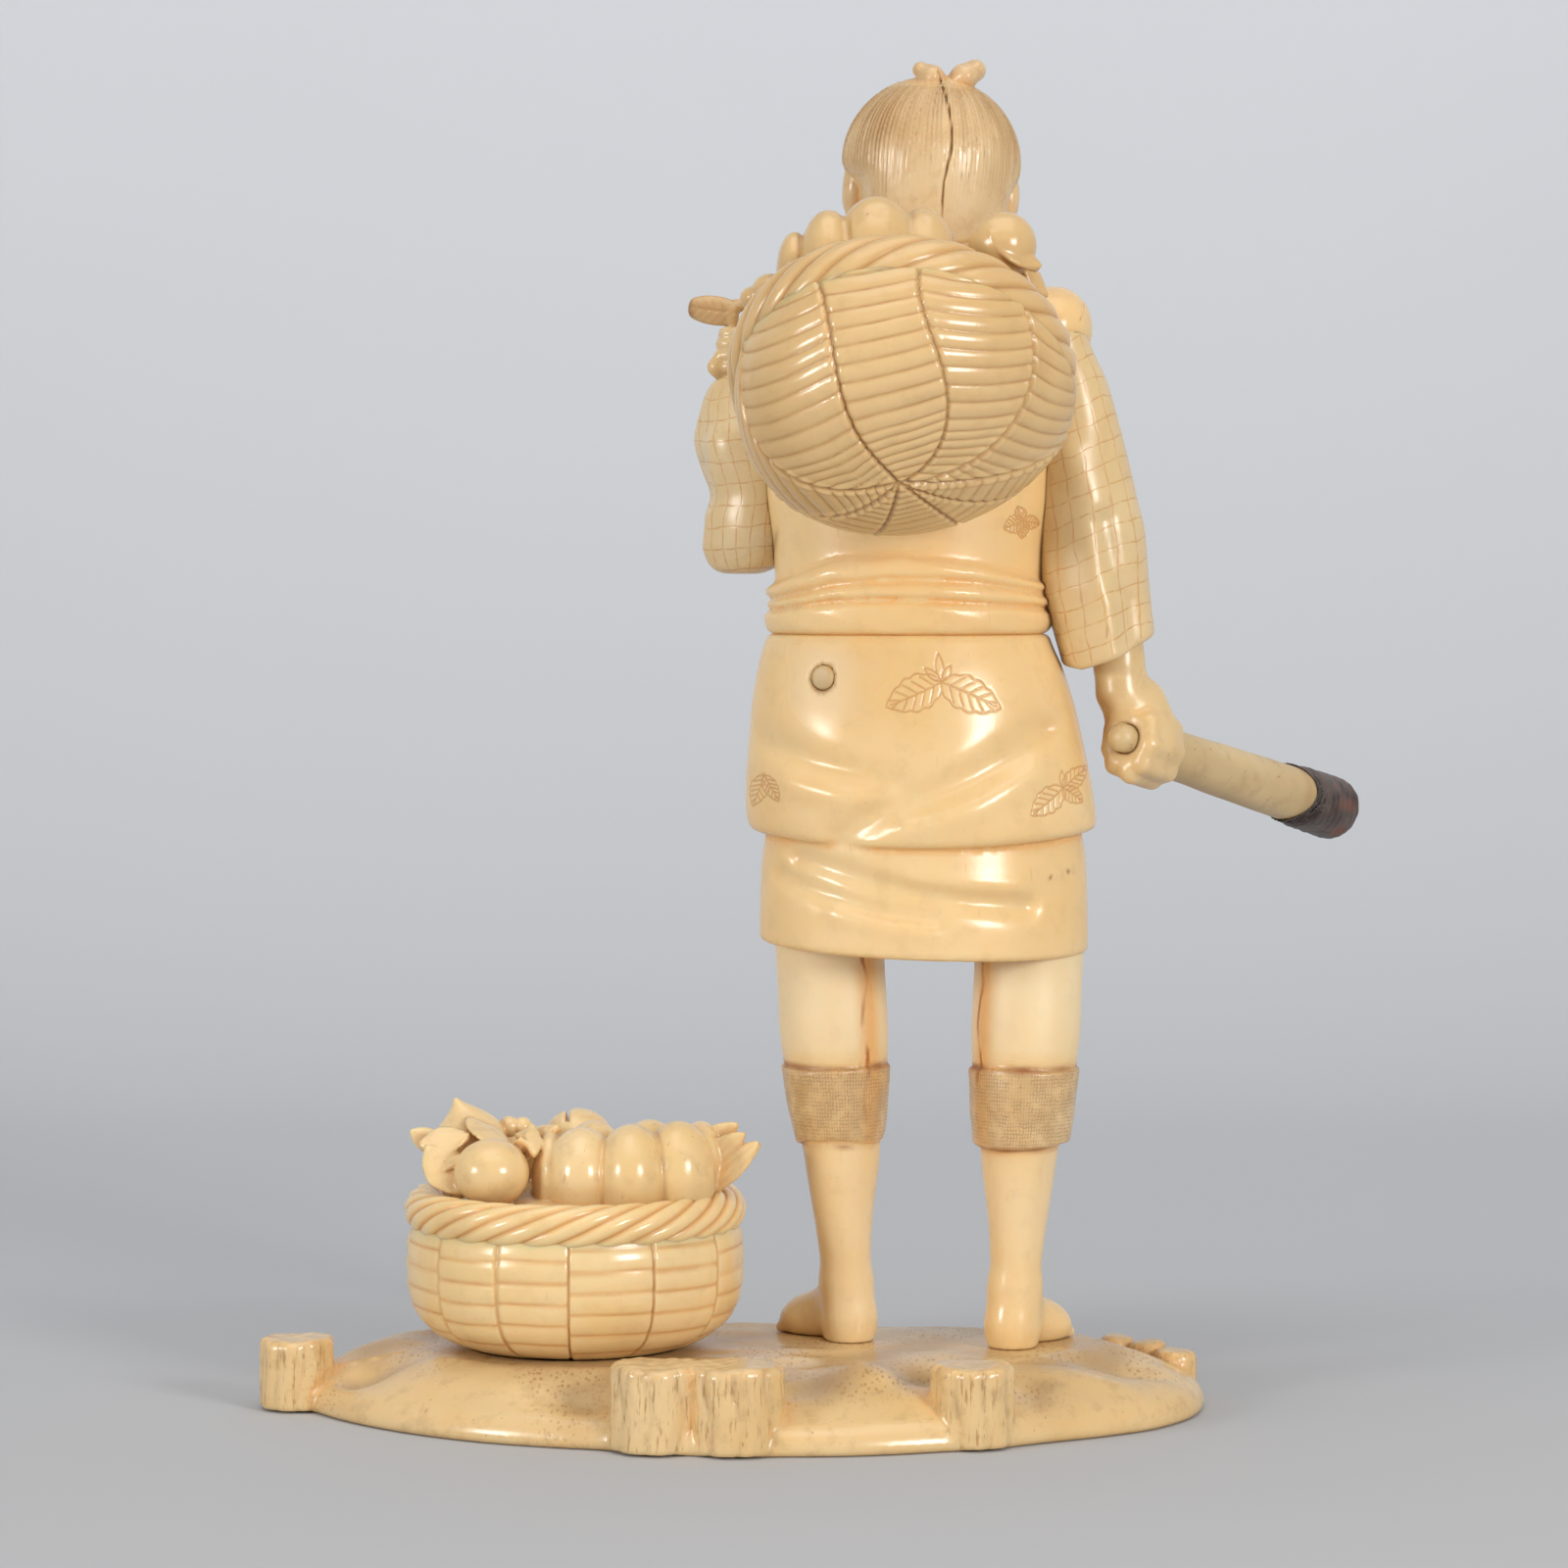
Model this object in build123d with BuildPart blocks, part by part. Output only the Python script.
from build123d import *
from math import atan2, cos, degrees, radians, sin, sqrt
import os

os.makedirs("parts", exist_ok=True)

# Carved ground: an oval slice with a rounded rim and a gently raised top
ground_length = 132.0
ground_depth = 82.0
ground_height = 8.5
rim_height = 5.6
rim_round = 1.8
crown_inset = 8.0

# Tree stumps carved in one with the ground: turn round the oval, height of the cut top, radius
stumps = [(180.0, 10.0, 5.1), (-99.6, 12.0, 5.9), (-88.4, 12.0, 5.9), (-58.4, 10.9, 5.7),
          (27.0, 7.2, 3.6), (19.0, 6.8, 3.6), (11.0, 7.0, 3.6)]
stump_inset = 4.6
stump_lift = 0.8
stump_furrows = 11
furrow_depth = 0.6

# Fits between the pieces
fit_gap = 0.08
end_gap = 0.4

# Where the figure stands, and how its waist and shoulders sway
figure_x = 26.5
figure_y = 7.0
waist_shift = -2.2
shoulder_shift = 0.3
shoulder_lean = 1.8

# Legs, with heights measured up from the ground
hem_height = 55.8
sole_rise = 2.4
ankle_height = 8.5
shin_height = 16.0
calf_height = 28.2
band_height = 11.0
ankle_radius = 3.6
shin_radius = 3.95
calf_radius = 5.3
band_radius = 7.9
knee_radius = 7.2
thigh_radius = 7.75
leg_fullness = 1.05
calf_lap = 2.0
knee_lap = 1.0
knee_rise = 8.0
left_ankle = (-10.3, 3.5)
left_hip = (-13.1, 1.0)
left_toe_turn = 127.0
right_ankle = (12.4, -2.5)
right_hip = (14.7, -1.0)
right_toe_turn = 61.0

# Feet: distance along the foot from the ankle, half width, height
foot_stations = [(-4.0, 2.0, 3.2), (-1.8, 3.2, 6.4), (2.2, 3.7, 8.4)]
toe_stations = [(7.0, 4.1, 5.6), (11.6, 4.5, 4.0), (15.4, 3.3, 2.6)]

# Pegs and dowels
foot_peg_radius = 1.25
foot_peg_length = 12.0
foot_peg_in_ground = 5.0
leg_dowel_radius = 2.0
leg_dowel_length = 14.0
waist_dowel_radius = 3.0
waist_dowel_length = 18.0
neck_dowel_radius = 2.0
neck_dowel_length = 12.0
shoulder_dowel_radius = 1.5
shoulder_dowel_length = 10.0
shoulder_dowel_drop = 15.0
wrist_dowel_radius = 1.2
wrist_dowel_length = 9.0
pack_peg_radius = 1.5
pack_peg_length = 16.0
pack_peg_drop = 25.0
basket_peg_radius = 1.5
basket_peg_length = 9.0
basket_peg_in_ground = 4.5

# Skirt: two tiers, the upper one tucked up over the lower
lower_tier_height = 14.9
upper_tier_height = 28.8
tier_tuck = 4.0
lower_tier_width = 45.8
lower_tier_depth = 34.4
upper_tier_width = 48.8
upper_tier_depth = 37.0
hip_width = 45.6
hip_depth = 33.6
hip_height = 17.0
waist_width = 39.4
waist_depth = 29.0
tier_fall = 4.0
tier_inset = 3.0
edge_roll = 1.6
edge_rise = 3.6
edge_sway = -0.4
hip_sway = 0.8

# Plug set into the back of the skirt
hip_peg_radius = 1.7
hip_peg_length = 6.0
hip_peg_proud = 0.35
hip_peg_turn = 227.0
hip_peg_drop = 5.8
hip_peg_clearance = 6.0

# Torso: vest over a wound sash of three bands
sash_height = 9.2
sash_bands = 3
sash_bulge = 0.7
vest_inset = 3.0
vest_tuck = 2.4
ribs_width = 40.6
ribs_depth = 28.0
ribs_height = 10.0
ribs_sway = 0.4
ribs_lean = 0.6
chest_width = 44.0
chest_depth = 26.4
chest_height = 31.0
shoulder_width = 41.6
shoulder_depth = 20.0
shoulder_height = 37.5
collar_width = 18.0
collar_depth = 16.0
collar_height = 41.0

# Head, with heights measured up from the collar
head_width = 24.4
head_depth = 25.6
neck_radius = 5.6
neck_height = 6.0
chin_height = 2.6
jaw_height = 6.0
cheek_height = 11.0
brow_height = 16.0
crown_height = 22.6
hair_top_height = 26.6
head_turn = 8.0
head_roll = 4.0
head_forward = 1.6
ear_radius = 2.2
nose_height = 9.6
nose_length = 4.8
nose_radius = 1.6
nose_forward = 11.9
knot_radius = 2.6
knot_band_radius = 4.4
knot_height = 2.4
knot_back = 0.8

# Right sleeve: drop below the shoulder, distance out, half width, half depth
right_sleeve_stations = [(4.0, 18.8, 3.4, 6.0), (19.0, 21.0, 5.4, 7.6), (34.0, 24.0, 6.2, 8.2),
                         (45.0, 25.8, 6.1, 8.0), (52.8, 27.0, 5.2, 7.4)]
right_sleeve_forward = -2.4
sleeve_wall = 1.3
sleeve_mouth = 4.0
cuff_gap = 0.4

# Left sleeve: drop below the shoulder, distance out, half width, half depth, distance forward
left_sleeve_stations = [(41.6, 24.0, 4.8, 5.6, 4.5), (37.8, 24.6, 6.3, 8.4, 4.6),
                        (29.0, 24.4, 6.4, 9.4, 5.0), (21.6, 25.0, 7.0, 9.2, 5.4),
                        (15.0, 27.0, 4.8, 5.4, 7.0)]
left_arm_top_drop = 3.0
left_arm_radius = 5.0
elbow_rise = 4.0
elbow_tuck = 2.0
upper_arm_drop = 10.0
upper_arm_tuck = 2.6
arm_top_tuck = 4.0

# Hands
forearm_radius = 3.2
fist_width = 8.8
fist_height = 12.8
fist_depth = 9.6
fist_round = 3.0
fist_shift = 1.1
right_fist_drop = 12.8
right_fist_out = 3.1
left_fist_width = 7.0
left_fist_height = 6.4
left_fist_depth = 7.6
left_wrist_length = 1.2

# Leaf held in the left hand
sprig_radius = 0.7
sprig_in_hand = 4.0
sprig_rise = 2.4
leaf_length = 6.4
leaf_width = 4.2
leaf_thickness = 1.2
leaf_tilt = 12.0

# Staff through the right fist
staff_turn = 55.7
staff_drop = 11.5
staff_proud = 1.4
spigot_radius = 2.0
staff_root_radius = 3.45
staff_end_radius = 4.1
staff_length = 39.0
staff_shoulder_gap = 0.05
cap_radius = 4.4
cap_end_radius = 4.6
cap_length = 15.0
cap_tenon_radius = 2.6
cap_tenon_length = 7.0

# Baskets: slatted bowls with a rope rim
basket_rows = 9
row_step = 0.25
rope_radius = 3.1
recess_depth = 7.0
heap_gap = 0.15
floor_basket_radius = 23.8
floor_basket_belly = 14.0
floor_basket_height = 23.2
floor_basket_square = 3.3
basket_bed = 0.9
basket_bed_radius = 17.0
floor_basket_x = -22.2
floor_basket_y = 7.0
pack_basket_radius = 23.7
pack_basket_belly = 21.0
pack_basket_height = 23.8
pack_basket_square = 2.05
pack_tilt = 45.5
pack_roll = 6.0
pack_drop = 12.6
pack_back = 16.4
pack_shift = -1.9

# Fruit, placed from the middle of a basket's rim: across, deep, height, radius
floor_fruits = [(-10.9, -9.8, 3.0, 5.2), (-16.0, 1.5, 3.2, 5.4), (0.4, 12.0, 2.8, 5.2)]
floor_melon = (6.8, -5.0, 2.4)
floor_leaves = [(14.0, -4.0, 3.6, 8.0), (13.0, 1.5, 4.4, 24.0)]
floor_peach = 1
pack_fruits = [(9.4, -15.5, 3.8, 4.4), (-16.0, -10.5, 1.6, 4.2), (7.0, -1.0, 2.6, 6.0)]
pack_melon = (-5.0, -10.0, 4.0)
melon_lobes = 8
melon_radius = 6.6
melon_lobe_radius = 5.2
melon_turn = 11.0
heap_dome = 5.0
peach_tip = 7.8
fruit_leaf_length = 10.0
fruit_leaf_width = 6.0
fruit_leaf_thickness = 1.4
fruit_leaf_rise = 22.0

# Levels that the pieces share
waist_x = figure_x + waist_shift
shoulder_x = figure_x + shoulder_shift
shoulder_y = figure_y + shoulder_lean
hem_level = ground_height + hem_height
tier_level = hem_level + lower_tier_height
waist_level = tier_level + upper_tier_height
sash_level = waist_level + sash_height
collar_level = sash_level + collar_height
shoulder_level = sash_level + shoulder_height
slack = end_gap / 2
floor_level = ground_height - basket_bed


def on_oval(turn, inset):
    across = (ground_length / 2 - inset) * cos(radians(turn))
    deep = (ground_depth / 2 - inset) * sin(radians(turn))
    return (across, deep)


def stand(place):
    return (figure_x + place[0], figure_y + place[1])


def finish(builder, label):
    builder.part.label = label
    export_step(builder.part, "parts/" + label + ".step")


# Dowels share one build: a round pin on a plane, with the pin's own length
def turn_pin(label, plane, radius, length):
    with BuildPart() as pin:
        with BuildSketch(plane):
            Circle(radius)
        extrude(amount=length)
    finish(pin, label)
    return pin


left_peg_plane = Plane(origin=(*stand(left_ankle), ground_height - foot_peg_in_ground))
right_peg_plane = Plane(origin=(*stand(right_ankle), ground_height - foot_peg_in_ground))
basket_peg_plane = Plane(origin=(floor_basket_x, floor_basket_y, floor_level - basket_peg_in_ground))

# Carved ground with stumps
with BuildPart() as ground:
    for level, inset in [(0, rim_round), (rim_height / 2, 0), (rim_height, rim_round),
                         (ground_height, crown_inset)]:
        with BuildSketch(Plane.XY.offset(level)):
            Ellipse(ground_length / 2 - inset, ground_depth / 2 - inset)
    loft()
    for turn, height, radius in stumps:
        bark = []
        for corner in range(stump_furrows * 2):
            swing = radians(180 * corner / stump_furrows)
            reach = radius - furrow_depth * (corner % 2)
            bark.append((reach * cos(swing), reach * sin(swing)))
        with BuildSketch(Plane(origin=(*on_oval(turn, stump_inset), stump_lift))):
            Polygon(*bark, align=None)
        extrude(amount=height - stump_lift)
    with BuildSketch(Plane(origin=(floor_basket_x, floor_basket_y, floor_level))):
        Circle(basket_bed_radius)
    extrude(amount=basket_bed, mode=Mode.SUBTRACT)
    for plane in [left_peg_plane, right_peg_plane]:
        with BuildSketch(plane.offset(-slack)):
            Circle(foot_peg_radius + fit_gap)
        extrude(amount=foot_peg_length, mode=Mode.SUBTRACT)
    with BuildSketch(basket_peg_plane.offset(-slack)):
        Circle(basket_peg_radius + fit_gap)
    extrude(amount=basket_peg_length, mode=Mode.SUBTRACT)
finish(ground, "ground_base")

turn_pin("left_foot_peg", left_peg_plane, foot_peg_radius, foot_peg_length)
turn_pin("right_foot_peg", right_peg_plane, foot_peg_radius, foot_peg_length)
turn_pin("floor_basket_peg", basket_peg_plane, basket_peg_radius, basket_peg_length)


# Leg with rolled band and bare foot
def carve_leg(label, ankle_place, hip_place, toe_turn, peg_plane, dowel_plane):
    ankle = stand(ankle_place)
    hip = stand(hip_place)
    band_level = calf_height + band_height
    shin = [(sole_rise, ankle_radius * 0.9), (ankle_height, ankle_radius), (shin_height, shin_radius),
            (calf_height, calf_radius), (calf_height + calf_lap, calf_radius)]
    band = [(calf_height, band_radius * 0.86), (calf_height + band_height * 0.45, band_radius),
            (band_level, band_radius * 0.97)]
    thigh = [(band_level - knee_lap, knee_radius), (band_level + knee_rise, (knee_radius + thigh_radius) / 2),
             (hem_height, thigh_radius)]
    forward = (cos(radians(toe_turn)), sin(radians(toe_turn)), 0)
    sideways = (-forward[1], forward[0], 0)
    with BuildPart() as leg:
        for stations in [shin, band, thigh]:
            for height, radius in stations:
                rise = height / hem_height
                centre = (ankle[0] + (hip[0] - ankle[0]) * rise, ankle[1] + (hip[1] - ankle[1]) * rise)
                with BuildSketch(Plane(origin=(*centre, ground_height + height))):
                    Ellipse(radius, radius * leg_fullness)
            loft()
        for reach, half_width, height in foot_stations + toe_stations:
            centre = (ankle[0] + forward[0] * reach, ankle[1] + forward[1] * reach,
                      ground_height + height * 0.36)
            with BuildSketch(Plane(origin=centre, x_dir=sideways, z_dir=forward)):
                Ellipse(half_width, height * 0.64)
        loft()
        split(bisect_by=Plane.XY.offset(ground_height), keep=Keep.TOP)
        with BuildSketch(peg_plane):
            Circle(foot_peg_radius + fit_gap)
        extrude(amount=foot_peg_length + slack, mode=Mode.SUBTRACT)
        with BuildSketch(dowel_plane.offset(-slack)):
            Circle(leg_dowel_radius + fit_gap)
        extrude(amount=leg_dowel_length, mode=Mode.SUBTRACT)
    finish(leg, label)
    return leg


leg_dowel_level = hem_level - leg_dowel_length / 2
left_dowel_plane = Plane(origin=(*stand(left_hip), leg_dowel_level))
right_dowel_plane = Plane(origin=(*stand(right_hip), leg_dowel_level))
carve_leg("left_leg", left_ankle, left_hip, left_toe_turn, left_peg_plane, left_dowel_plane)
carve_leg("right_leg", right_ankle, right_hip, right_toe_turn, right_peg_plane, right_dowel_plane)
turn_pin("left_leg_dowel", left_dowel_plane, leg_dowel_radius, leg_dowel_length)
turn_pin("right_leg_dowel", right_dowel_plane, leg_dowel_radius, leg_dowel_length)

# Skirt of two tiers, its plug and the waist dowel
waist_dowel_plane = Plane(origin=(waist_x, figure_y, waist_level - waist_dowel_length / 2))
peg_out = (cos(radians(hip_peg_turn)), sin(radians(hip_peg_turn)), 0)
hip_share = hip_peg_drop / (upper_tier_height - hip_height)
peg_half_width = (waist_width + (hip_width - waist_width) * hip_share) / 2
peg_half_depth = (waist_depth + (hip_depth - waist_depth) * hip_share) / 2
peg_reach = 1 / sqrt((peg_out[0] / peg_half_width) ** 2 + (peg_out[1] / peg_half_depth) ** 2)
peg_face = (waist_x + peg_out[0] * peg_reach, figure_y + peg_out[1] * peg_reach,
            waist_level - hip_peg_drop)
peg_slope = degrees(atan2(peg_out[1] / peg_half_depth ** 2, peg_out[0] / peg_half_width ** 2))
peg_normal = (cos(radians(peg_slope)), sin(radians(peg_slope)), 0)
hip_peg_plane = Plane(origin=peg_face, z_dir=peg_normal)
with BuildPart() as skirt:
    for level, width, depth in [(hem_level, lower_tier_width, lower_tier_depth),
                                (tier_level - tier_fall, lower_tier_width, lower_tier_depth),
                                (tier_level + tier_tuck, lower_tier_width - tier_inset,
                                 lower_tier_depth - tier_inset)]:
        with BuildSketch(Plane(origin=(figure_x, figure_y, level))):
            Ellipse(width / 2, depth / 2)
    loft()
    for level, width, depth, across in [
            (tier_level, upper_tier_width - edge_roll, upper_tier_depth - edge_roll, figure_x),
            (tier_level + edge_rise, upper_tier_width, upper_tier_depth, figure_x + edge_sway),
            (tier_level + hip_height, hip_width, hip_depth, waist_x + hip_sway),
            (waist_level, waist_width, waist_depth, waist_x)]:
        with BuildSketch(Plane(origin=(across, figure_y, level))):
            Ellipse(width / 2, depth / 2)
    loft()
    for plane in [left_dowel_plane, right_dowel_plane]:
        with BuildSketch(plane):
            Circle(leg_dowel_radius + fit_gap)
        extrude(amount=leg_dowel_length + slack, mode=Mode.SUBTRACT)
    with BuildSketch(waist_dowel_plane.offset(-slack)):
        Circle(waist_dowel_radius + fit_gap)
    extrude(amount=waist_dowel_length, mode=Mode.SUBTRACT)
    with BuildSketch(hip_peg_plane.offset(-hip_peg_length - slack)):
        Circle(hip_peg_radius + fit_gap)
    extrude(amount=hip_peg_length + hip_peg_clearance, mode=Mode.SUBTRACT)
finish(skirt, "skirt")
turn_pin("waist_dowel", waist_dowel_plane, waist_dowel_radius, waist_dowel_length)
turn_pin("hip_peg", hip_peg_plane.offset(-hip_peg_length), hip_peg_radius,
         hip_peg_length + hip_peg_proud)


# Basket: a bowl of stepped slat rows, closed by a rope rim and recessed for its heap
def weave_basket(label, seat, radius, belly, height, square, peg_depth):
    rows = []
    for row in range(basket_rows + 1):
        swing = radians(90 * row / basket_rows)
        out = radius * sin(swing) ** (2 / square)
        up = belly * (1 - cos(swing) ** (2 / square))
        rows.append((out, up))
    slats = [(rows[1][0], 0)]
    for low, high in zip(rows[1:], rows[2:]):
        lean = atan2(high[1] - low[1], high[0] - low[0])
        step = (row_step * sin(lean), -row_step * cos(lean))
        slats.append((low[0] + step[0], max(low[1] + step[1], 0.02)))
        slats.append((high[0] + step[0], high[1] + step[1]))
        slats.append(high)
    rope_out = radius - rope_radius + 0.2
    rope_up = height - rope_radius
    with BuildPart() as bowl:
        with BuildSketch(Plane.XZ):
            with BuildLine():
                Polyline(*slats, (radius - 0.5, rope_up), (0, rope_up), (0, 0), slats[0])
            make_face()
        revolve(axis=Axis.Z)
        with BuildSketch(Plane.XZ):
            with Locations((rope_out, rope_up)):
                Circle(rope_radius)
        revolve(axis=Axis.Z)
        with BuildSketch(Plane.XY.offset(height - recess_depth)):
            Circle(rope_out - rope_radius * 0.4)
        extrude(amount=recess_depth, mode=Mode.SUBTRACT)
        if peg_depth > 0:
            with BuildSketch(Plane.XY):
                Circle(basket_peg_radius + fit_gap)
            extrude(amount=peg_depth + slack, mode=Mode.SUBTRACT)
    placed = bowl.part.moved(seat.location)
    placed.label = label
    export_step(placed, "parts/" + label + ".step")
    return placed


# Heap of fruit on a plug that sits in a basket's recess
def pile_fruit(label, seat, radius, height, fruits, melon, peach, leaves, neighbours, peg_plane):
    plug_radius = radius - rope_radius * 1.4 + 0.2 - heap_gap
    rim = Plane.XY.offset(height)
    with BuildPart() as pile:
        with BuildSketch(Plane.XY.offset(height - recess_depth)):
            Circle(plug_radius)
        extrude(amount=recess_depth - rope_radius)
        for lift, share in [(-rope_radius - 0.5, 0.99), (0, 0.97), (heap_dome * 0.6, 0.7), (heap_dome, 0.3)]:
            with BuildSketch(rim.offset(lift)):
                Circle(plug_radius * share)
        loft()
        for across, deep, lift, size in fruits:
            with Locations((across, deep, height + lift)):
                Sphere(size)
        if peach is not None:
            across, deep, lift, size = fruits[peach]
            with Locations((across, deep, height + lift + size * 0.5)):
                Cone(size * 0.84, 0.4, peach_tip - size * 0.5, align=(Align.CENTER, Align.CENTER, Align.MIN))
        with Locations((melon[0], melon[1], height + melon[2])):
            with PolarLocations(melon_radius, melon_lobes, start_angle=melon_turn):
                Sphere(melon_lobe_radius)
            Cylinder(melon_radius * 0.9, melon_lobe_radius * 1.5)
        for across, deep, lift, turn in leaves:
            side = Plane(origin=(across, deep, height + lift)).rotated((0, -fruit_leaf_rise, turn))
            with BuildSketch(side):
                with BuildLine():
                    for edge in (-1, 1):
                        bow = (fruit_leaf_length / 2, edge * fruit_leaf_width / 2)
                        ThreePointArc((0, 0), bow, (fruit_leaf_length, 0))
                make_face()
            extrude(amount=fruit_leaf_thickness / 2, both=True)
        with BuildSketch(Plane.XY.offset(height - recess_depth)):
            Circle(radius * 1.4)
            Circle(plug_radius, mode=Mode.SUBTRACT)
        extrude(amount=recess_depth + heap_gap, mode=Mode.SUBTRACT)
    with BuildPart() as heap:
        add(pile.part.moved(seat.location))
        for neighbour in neighbours:
            add(neighbour, mode=Mode.SUBTRACT)
        if peg_plane is not None:
            with BuildSketch(peg_plane):
                Circle(pack_peg_radius + fit_gap)
            extrude(amount=pack_peg_length + slack, mode=Mode.SUBTRACT)
        add(heap.solids().sort_by(SortBy.VOLUME)[-1], mode=Mode.REPLACE)
    finish(heap, label)


floor_seat = Plane(origin=(floor_basket_x, floor_basket_y, floor_level))
weave_basket("floor_basket", floor_seat, floor_basket_radius, floor_basket_belly, floor_basket_height,
             floor_basket_square, basket_peg_length - basket_peg_in_ground)
pile_fruit("floor_fruit", floor_seat, floor_basket_radius, floor_basket_height, floor_fruits, floor_melon,
           floor_peach, floor_leaves, [], None)

# Basket on the back, leaning out from the shoulders
back_face = shoulder_y - chest_depth / 2
pack_rim = (shoulder_x + pack_shift, back_face - pack_back, collar_level - pack_drop)
tilt = radians(pack_tilt)
roll = radians(pack_roll)
pack_axis = Vector(sin(tilt) * sin(roll), cos(tilt), sin(tilt) * cos(roll))
pack_across = Vector(cos(roll), 0, -sin(roll))
pack_seat = Plane(origin=Vector(*pack_rim) - pack_axis * pack_basket_height, x_dir=pack_across,
                  z_dir=pack_axis)
pack_basket = weave_basket("pack_basket", pack_seat, pack_basket_radius, pack_basket_belly,
                           pack_basket_height, pack_basket_square, 0)

# Torso: vest and sash, bedded against the basket
shoulder_dowel_level = collar_level - shoulder_dowel_drop
right_shoulder_plane = Plane(origin=(shoulder_x + chest_width / 2 - shoulder_dowel_length * 0.55, shoulder_y,
                                     shoulder_dowel_level), z_dir=(1, 0, 0))
left_shoulder_plane = Plane(origin=(shoulder_x - chest_width / 2 + shoulder_dowel_length * 0.55, shoulder_y,
                                    shoulder_dowel_level), z_dir=(-1, 0, 0))
neck_dowel_plane = Plane(origin=(shoulder_x, shoulder_y, collar_level - neck_dowel_length / 2))
pack_peg_level = collar_level - pack_peg_drop
pack_peg_plane = Plane(origin=(shoulder_x, back_face + pack_peg_length * 0.45, pack_peg_level),
                       z_dir=(0, -1, 0))
band_rise = sash_height / sash_bands
with BuildPart() as torso:
    for level, width, depth, across, deep in [
            (waist_level, waist_width - vest_inset, waist_depth - vest_inset, waist_x, figure_y),
            (sash_level, waist_width - vest_tuck, waist_depth - vest_tuck, waist_x, figure_y),
            (sash_level + ribs_height, ribs_width, ribs_depth, waist_x + ribs_sway, figure_y + ribs_lean),
            (sash_level + chest_height, chest_width, chest_depth, shoulder_x, shoulder_y),
            (shoulder_level, shoulder_width, shoulder_depth, shoulder_x, shoulder_y),
            (collar_level, collar_width, collar_depth, shoulder_x, shoulder_y)]:
        with BuildSketch(Plane(origin=(across, deep, level))):
            Ellipse(width / 2, depth / 2)
    loft()
    for band in range(sash_bands):
        for share, swell in [(0, 0.2), (0.5, 1.0), (1, 0.2)]:
            level = waist_level + band_rise * (band + share)
            with BuildSketch(Plane(origin=(waist_x, figure_y, level))):
                Ellipse(waist_width / 2 + sash_bulge * swell, waist_depth / 2 + sash_bulge * swell)
        loft(ruled=True)
    add(pack_basket, mode=Mode.SUBTRACT)
    with BuildSketch(waist_dowel_plane):
        Circle(waist_dowel_radius + fit_gap)
    extrude(amount=waist_dowel_length + slack, mode=Mode.SUBTRACT)
    with BuildSketch(neck_dowel_plane.offset(-slack)):
        Circle(neck_dowel_radius + fit_gap)
    extrude(amount=neck_dowel_length, mode=Mode.SUBTRACT)
    for plane in [right_shoulder_plane, left_shoulder_plane]:
        with BuildSketch(plane.offset(-slack)):
            Circle(shoulder_dowel_radius + fit_gap)
        extrude(amount=shoulder_dowel_length, mode=Mode.SUBTRACT)
    with BuildSketch(pack_peg_plane.offset(-slack)):
        Circle(pack_peg_radius + fit_gap)
    extrude(amount=pack_peg_length, mode=Mode.SUBTRACT)
finish(torso, "torso")
turn_pin("neck_dowel", neck_dowel_plane, neck_dowel_radius, neck_dowel_length)
turn_pin("pack_peg", pack_peg_plane, pack_peg_radius, pack_peg_length)

# Head with neck, ears, nose and tied top lock
head_seat = Plane(origin=(shoulder_x, shoulder_y + head_forward, collar_level))
head_plane = head_seat.rotated((0, head_roll, head_turn))
head_stations = [(chin_height, 0.36, 0.36, 5.4), (jaw_height, 0.66, 0.7, 2.6),
                 (cheek_height, 0.93, 0.93, 0.8), (brow_height, 1.0, 1.0, 0),
                 (crown_height, 0.78, 0.8, -0.6), (hair_top_height, 0.3, 0.32, -0.8)]
with BuildPart() as head:
    with BuildSketch(Plane(origin=(shoulder_x, shoulder_y, collar_level))):
        Circle(neck_radius)
    with BuildSketch(head_plane.offset(neck_height)):
        Circle(neck_radius)
    with BuildSketch(head_plane.offset(cheek_height)):
        Circle(neck_radius)
    loft()
    for height, width_share, depth_share, forward in head_stations:
        with BuildSketch(head_plane.offset(height)):
            with Locations((0, forward)):
                Ellipse(head_width / 2 * width_share, head_depth / 2 * depth_share)
    loft()
    for side in (-1, 1):
        with Locations(head_plane * Location((side * head_width * 0.46, -0.5, cheek_height + 1.0))):
            Sphere(ear_radius)
    for height, share in [(nose_height, 1.0), (nose_height + nose_length, 0.5)]:
        with BuildSketch(head_plane.offset(height)):
            with Locations((0, nose_forward)):
                Ellipse(nose_radius * share, nose_radius * 1.2 * share)
    loft()
    with BuildSketch(head_plane.offset(crown_height)):
        with Locations((0, -knot_back)):
            Circle(knot_band_radius)
    extrude(amount=hair_top_height - crown_height + knot_height * 0.3)
    for side, rise in [(-1, 0), (1, 0.5)]:
        lobe = Location((side * knot_radius, -knot_back, hair_top_height + rise * 0.5))
        with Locations(head_plane * lobe):
            Sphere(knot_radius)
    with BuildSketch(neck_dowel_plane):
        Circle(neck_dowel_radius + fit_gap)
    extrude(amount=neck_dowel_length + slack, mode=Mode.SUBTRACT)
finish(head, "head")

pile_fruit("pack_fruit", pack_seat, pack_basket_radius, pack_basket_height, pack_fruits, pack_melon, None, [],
           [torso.part, head.part], pack_peg_plane)

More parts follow.
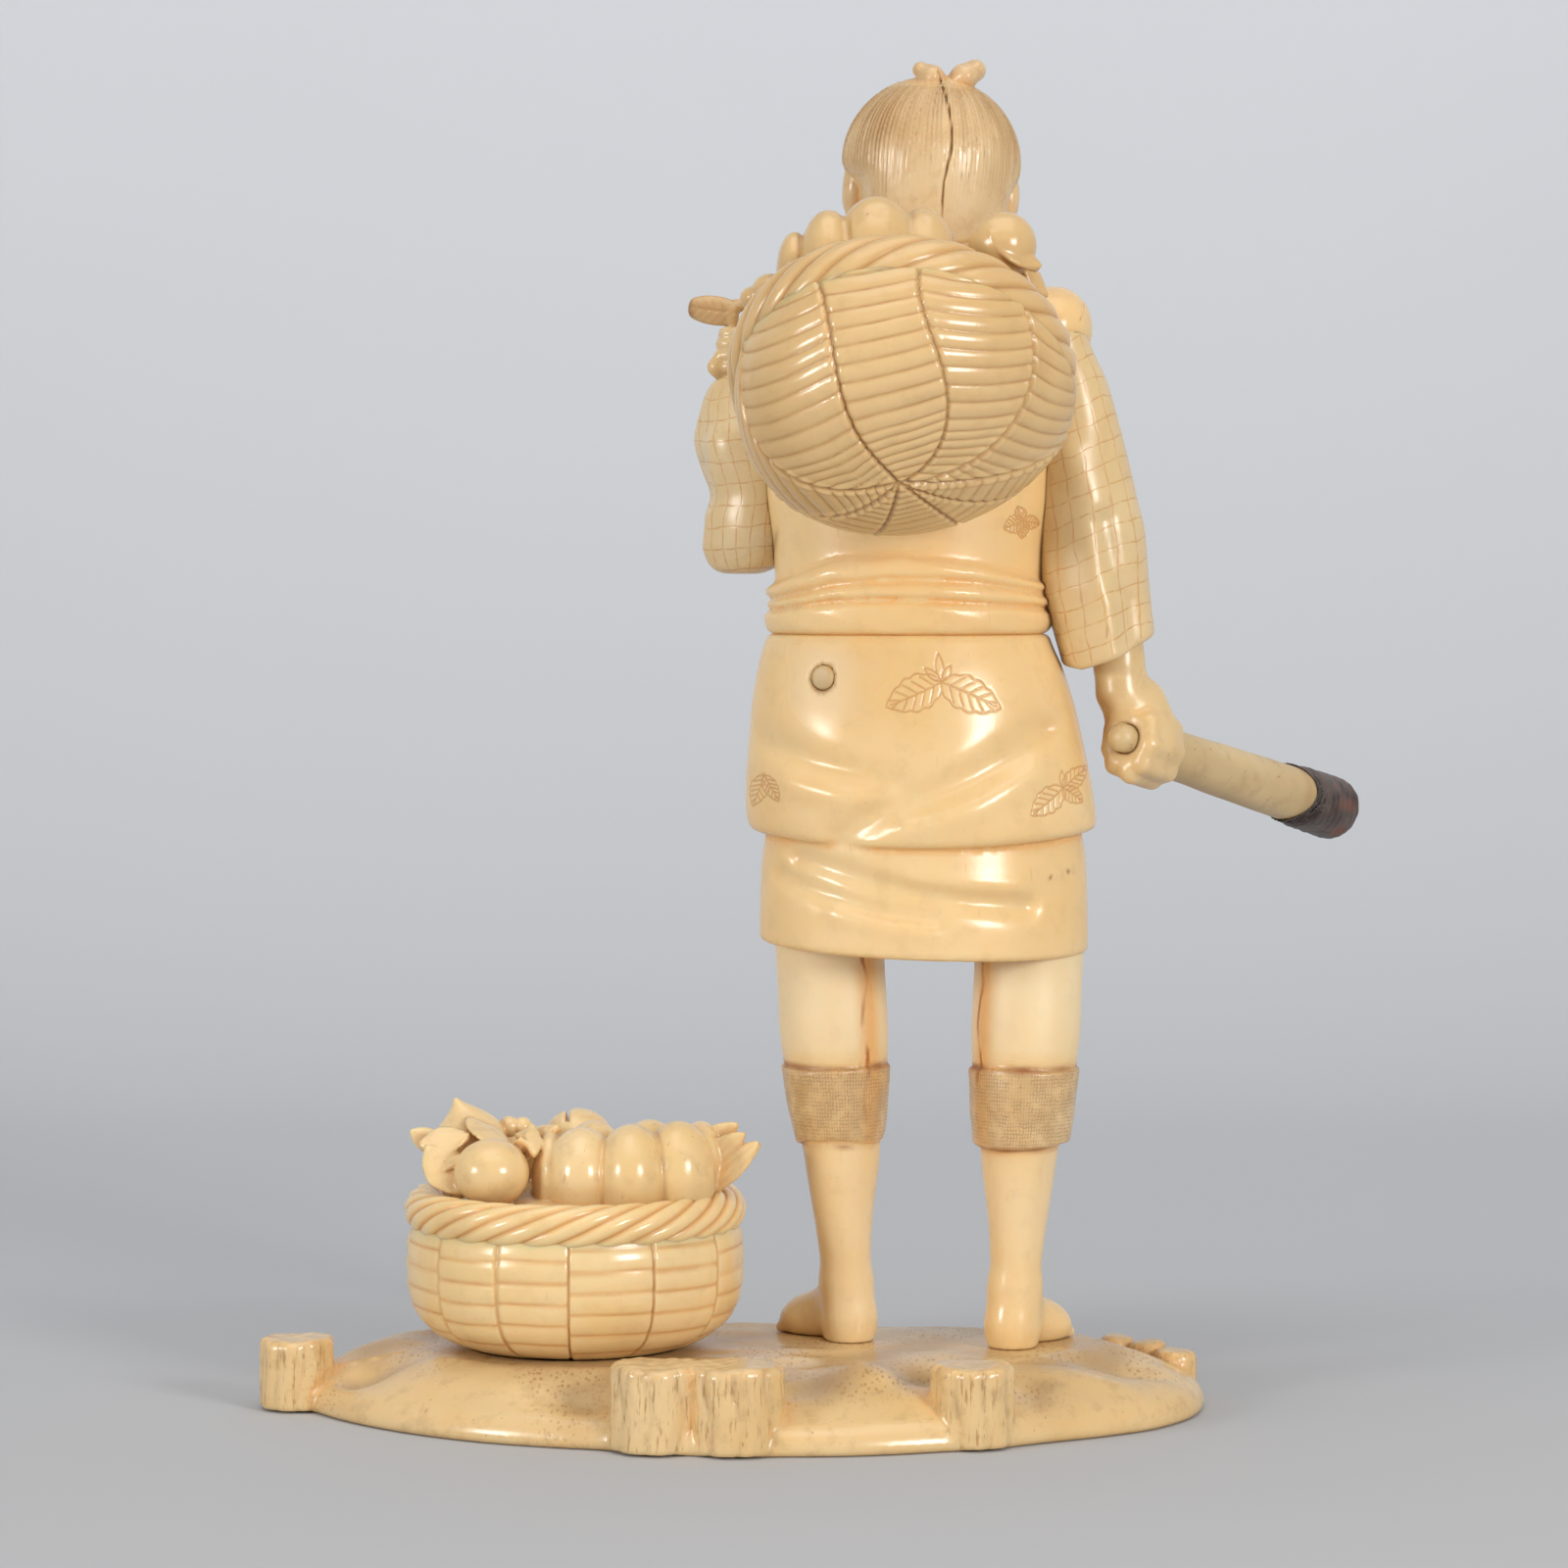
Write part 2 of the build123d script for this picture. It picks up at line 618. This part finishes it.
# Right sleeve, hollow at the mouth
right_hem_drop = right_sleeve_stations[-1][0]
right_hem_out = right_sleeve_stations[-1][1]
right_hem_level = collar_level - right_hem_drop
sleeve_y = shoulder_y + right_sleeve_forward
right_roof = right_hem_level + sleeve_mouth
right_wrist_plane = Plane(origin=(shoulder_x + right_hem_out, sleeve_y, right_roof - wrist_dowel_length / 2))
with BuildPart() as right_sleeve:
    for drop, out, half_width, half_depth in right_sleeve_stations:
        with BuildSketch(Plane(origin=(shoulder_x + out, sleeve_y, collar_level - drop))):
            Ellipse(half_width, half_depth)
    loft()
    with BuildSketch(Plane(origin=(shoulder_x + right_hem_out, sleeve_y, right_hem_level))):
        Ellipse(right_sleeve_stations[-1][2] - sleeve_wall, right_sleeve_stations[-1][3] - sleeve_wall)
    extrude(amount=sleeve_mouth, mode=Mode.SUBTRACT)
    add(torso.part, mode=Mode.SUBTRACT)
    with BuildSketch(right_shoulder_plane):
        Circle(shoulder_dowel_radius + fit_gap)
    extrude(amount=shoulder_dowel_length + slack, mode=Mode.SUBTRACT)
    with BuildSketch(right_wrist_plane):
        Circle(wrist_dowel_radius + fit_gap)
    extrude(amount=wrist_dowel_length + slack, mode=Mode.SUBTRACT)
    add(right_sleeve.solids().sort_by(SortBy.VOLUME)[-1], mode=Mode.REPLACE)
finish(right_sleeve, "right_sleeve")
turn_pin("right_shoulder_dowel", right_shoulder_plane, shoulder_dowel_radius, shoulder_dowel_length)
turn_pin("right_wrist_dowel", right_wrist_plane, wrist_dowel_radius, wrist_dowel_length)

# Right hand: forearm and pierced fist, with the staff's axis through it
aim = radians(staff_turn)
dip = radians(staff_drop)
staff_axis = Vector(cos(dip) * cos(aim), cos(dip) * sin(aim), -sin(dip))
fist_centre = Vector(shoulder_x + right_hem_out + right_fist_out, sleeve_y, right_hem_level - right_fist_drop)
fist_across = Vector(-sin(aim), cos(aim), 0) * -1
fist_plane = Plane(origin=fist_centre, x_dir=fist_across, z_dir=staff_axis)
staff_seat = Plane(origin=fist_centre - staff_axis * (fist_depth / 2 + staff_proud), x_dir=fist_across,
                   z_dir=staff_axis)
with BuildPart() as right_hand:
    with BuildSketch(fist_plane.offset(-fist_depth / 2)):
        with Locations((-fist_shift, -fist_shift)):
            RectangleRounded(fist_width, fist_height, fist_round)
    extrude(amount=fist_depth)
    fillet(right_hand.edges().filter_by(fist_plane), fist_round * 0.6)
    wrist = (fist_centre.X - 0.6, fist_centre.Y, fist_centre.Z + fist_height * 0.34)
    for place, radius in [((shoulder_x + right_hem_out, sleeve_y, right_roof), forearm_radius * 1.05),
                          ((shoulder_x + right_hem_out, sleeve_y, right_hem_level), forearm_radius),
                          (wrist, forearm_radius)]:
        with BuildSketch(Plane(origin=place)):
            Circle(radius)
    loft()
    with BuildSketch(staff_seat):
        Circle(spigot_radius + fit_gap)
    extrude(amount=fist_depth + staff_proud * 2, mode=Mode.SUBTRACT)
    with BuildSketch(right_wrist_plane.offset(-slack)):
        Circle(wrist_dowel_radius + fit_gap)
    extrude(amount=wrist_dowel_length, mode=Mode.SUBTRACT)
finish(right_hand, "right_hand")

# Staff and its dark cap
spigot_length = staff_proud + fist_depth + staff_shoulder_gap
with BuildPart() as staff:
    with BuildSketch(staff_seat):
        Circle(spigot_radius)
    extrude(amount=spigot_length)
    tip = staff.edges().filter_by(GeomType.CIRCLE).sort_by(Axis(staff_seat.origin, staff_axis))[0]
    fillet(tip, spigot_radius * 0.6)
    for reach, radius in [(spigot_length, staff_root_radius),
                          (spigot_length + staff_length, staff_end_radius)]:
        with BuildSketch(staff_seat.offset(reach)):
            Circle(radius)
    loft()
    with BuildSketch(staff_seat.offset(spigot_length + staff_length)):
        Circle(cap_tenon_radius)
    extrude(amount=cap_tenon_length)
finish(staff, "staff")

cap_seat = staff_seat.offset(spigot_length + staff_length)
with BuildPart() as staff_cap:
    for reach, radius in [(0, cap_radius), (cap_length, cap_end_radius)]:
        with BuildSketch(cap_seat.offset(reach)):
            Circle(radius)
    loft()
    far_edge = staff_cap.edges().filter_by(GeomType.CIRCLE).sort_by(Axis(cap_seat.origin, staff_axis))[-1]
    fillet(far_edge, cap_end_radius * 0.45)
    with BuildSketch(cap_seat):
        Circle(cap_tenon_radius + fit_gap)
    extrude(amount=cap_tenon_length + end_gap, mode=Mode.SUBTRACT)
finish(staff_cap, "staff_cap")

# Left sleeve: a hanging bag below the raised forearm
top_drop, top_out, top_half_width, top_half_depth, top_forward = left_sleeve_stations[-1]
left_top = (shoulder_x - top_out, shoulder_y + top_forward, collar_level - top_drop)
left_floor = left_top[2] - sleeve_mouth
left_wrist_plane = Plane(origin=(left_top[0], left_top[1], left_floor - wrist_dowel_length / 2))
with BuildPart() as left_sleeve:
    for drop, out, half_width, half_depth, forward in left_sleeve_stations:
        with BuildSketch(Plane(origin=(shoulder_x - out, shoulder_y + forward, collar_level - drop))):
            Ellipse(half_width, half_depth)
    loft()
    elbow = left_sleeve_stations[1]
    for drop, out, radius, forward in [
            (elbow[0] - elbow_rise, elbow[1] - elbow_tuck, left_arm_radius, elbow[4]),
            (left_arm_top_drop + upper_arm_drop, chest_width / 2 - upper_arm_tuck, left_arm_radius, 0),
            (left_arm_top_drop, chest_width / 2 - arm_top_tuck, left_arm_radius * 0.7, 0)]:
        with BuildSketch(Plane(origin=(shoulder_x - out, shoulder_y + forward, collar_level - drop))):
            Circle(radius)
    loft()
    with BuildSketch(Plane(origin=left_top)):
        Ellipse(top_half_width - sleeve_wall, top_half_depth - sleeve_wall)
    extrude(amount=-sleeve_mouth, mode=Mode.SUBTRACT)
    with BuildSketch(Plane(origin=left_top)):
        Rectangle(left_fist_width + cuff_gap * 2, left_fist_depth + cuff_gap * 2)
    extrude(amount=left_fist_height * 2, mode=Mode.SUBTRACT)
    add(torso.part, mode=Mode.SUBTRACT)
    add(pack_basket, mode=Mode.SUBTRACT)
    with BuildSketch(left_shoulder_plane):
        Circle(shoulder_dowel_radius + fit_gap)
    extrude(amount=shoulder_dowel_length + slack, mode=Mode.SUBTRACT)
    with BuildSketch(left_wrist_plane.offset(-slack)):
        Circle(wrist_dowel_radius + fit_gap)
    extrude(amount=wrist_dowel_length, mode=Mode.SUBTRACT)
    add(left_sleeve.solids().sort_by(SortBy.VOLUME)[-1], mode=Mode.REPLACE)
finish(left_sleeve, "left_sleeve")
turn_pin("left_shoulder_dowel", left_shoulder_plane, shoulder_dowel_radius, shoulder_dowel_length)
turn_pin("left_wrist_dowel", left_wrist_plane, wrist_dowel_radius, wrist_dowel_length)

# Left hand, raised, and the leaf it holds
left_fist_level = left_top[2] + left_wrist_length
left_fist_top = left_fist_level + left_fist_height
leaf_stem_plane = Plane(origin=(left_top[0], left_top[1], left_fist_top - sprig_in_hand))
with BuildPart() as left_hand:
    with BuildSketch(Plane(origin=(left_top[0], left_top[1], left_floor))):
        Circle(forearm_radius * 0.9)
    extrude(amount=sleeve_mouth + left_wrist_length + left_fist_height * 0.3)
    with BuildSketch(Plane(origin=(left_top[0], left_top[1], left_fist_level))):
        RectangleRounded(left_fist_width, left_fist_depth, left_fist_width * 0.4)
    extrude(amount=left_fist_height)
    ends = left_hand.edges().group_by(Axis.Z)[-1]
    fillet(ends, left_fist_width * 0.25)
    with BuildSketch(leaf_stem_plane.offset(-slack)):
        Circle(sprig_radius + fit_gap)
    extrude(amount=sprig_in_hand * 2, mode=Mode.SUBTRACT)
    with BuildSketch(left_wrist_plane):
        Circle(wrist_dowel_radius + fit_gap)
    extrude(amount=wrist_dowel_length + slack, mode=Mode.SUBTRACT)
finish(left_hand, "left_hand")

leaf_plane = Plane(origin=(left_top[0], left_top[1] + leaf_thickness / 2, left_fist_top + sprig_rise),
                   x_dir=(-cos(radians(leaf_tilt)), 0, sin(radians(leaf_tilt))), z_dir=(0, -1, 0))
with BuildPart() as leaf_sprig:
    with BuildSketch(leaf_stem_plane):
        Circle(sprig_radius)
    extrude(amount=sprig_in_hand + sprig_rise)
    with BuildSketch(leaf_plane):
        with BuildLine():
            ThreePointArc((-1.0, 0), (leaf_length * 0.42, leaf_width / 2), (leaf_length, 0))
            ThreePointArc((leaf_length, 0), (leaf_length * 0.42, -leaf_width / 2), (-1.0, 0))
        make_face()
    extrude(amount=leaf_thickness)
finish(leaf_sprig, "leaf_sprig")
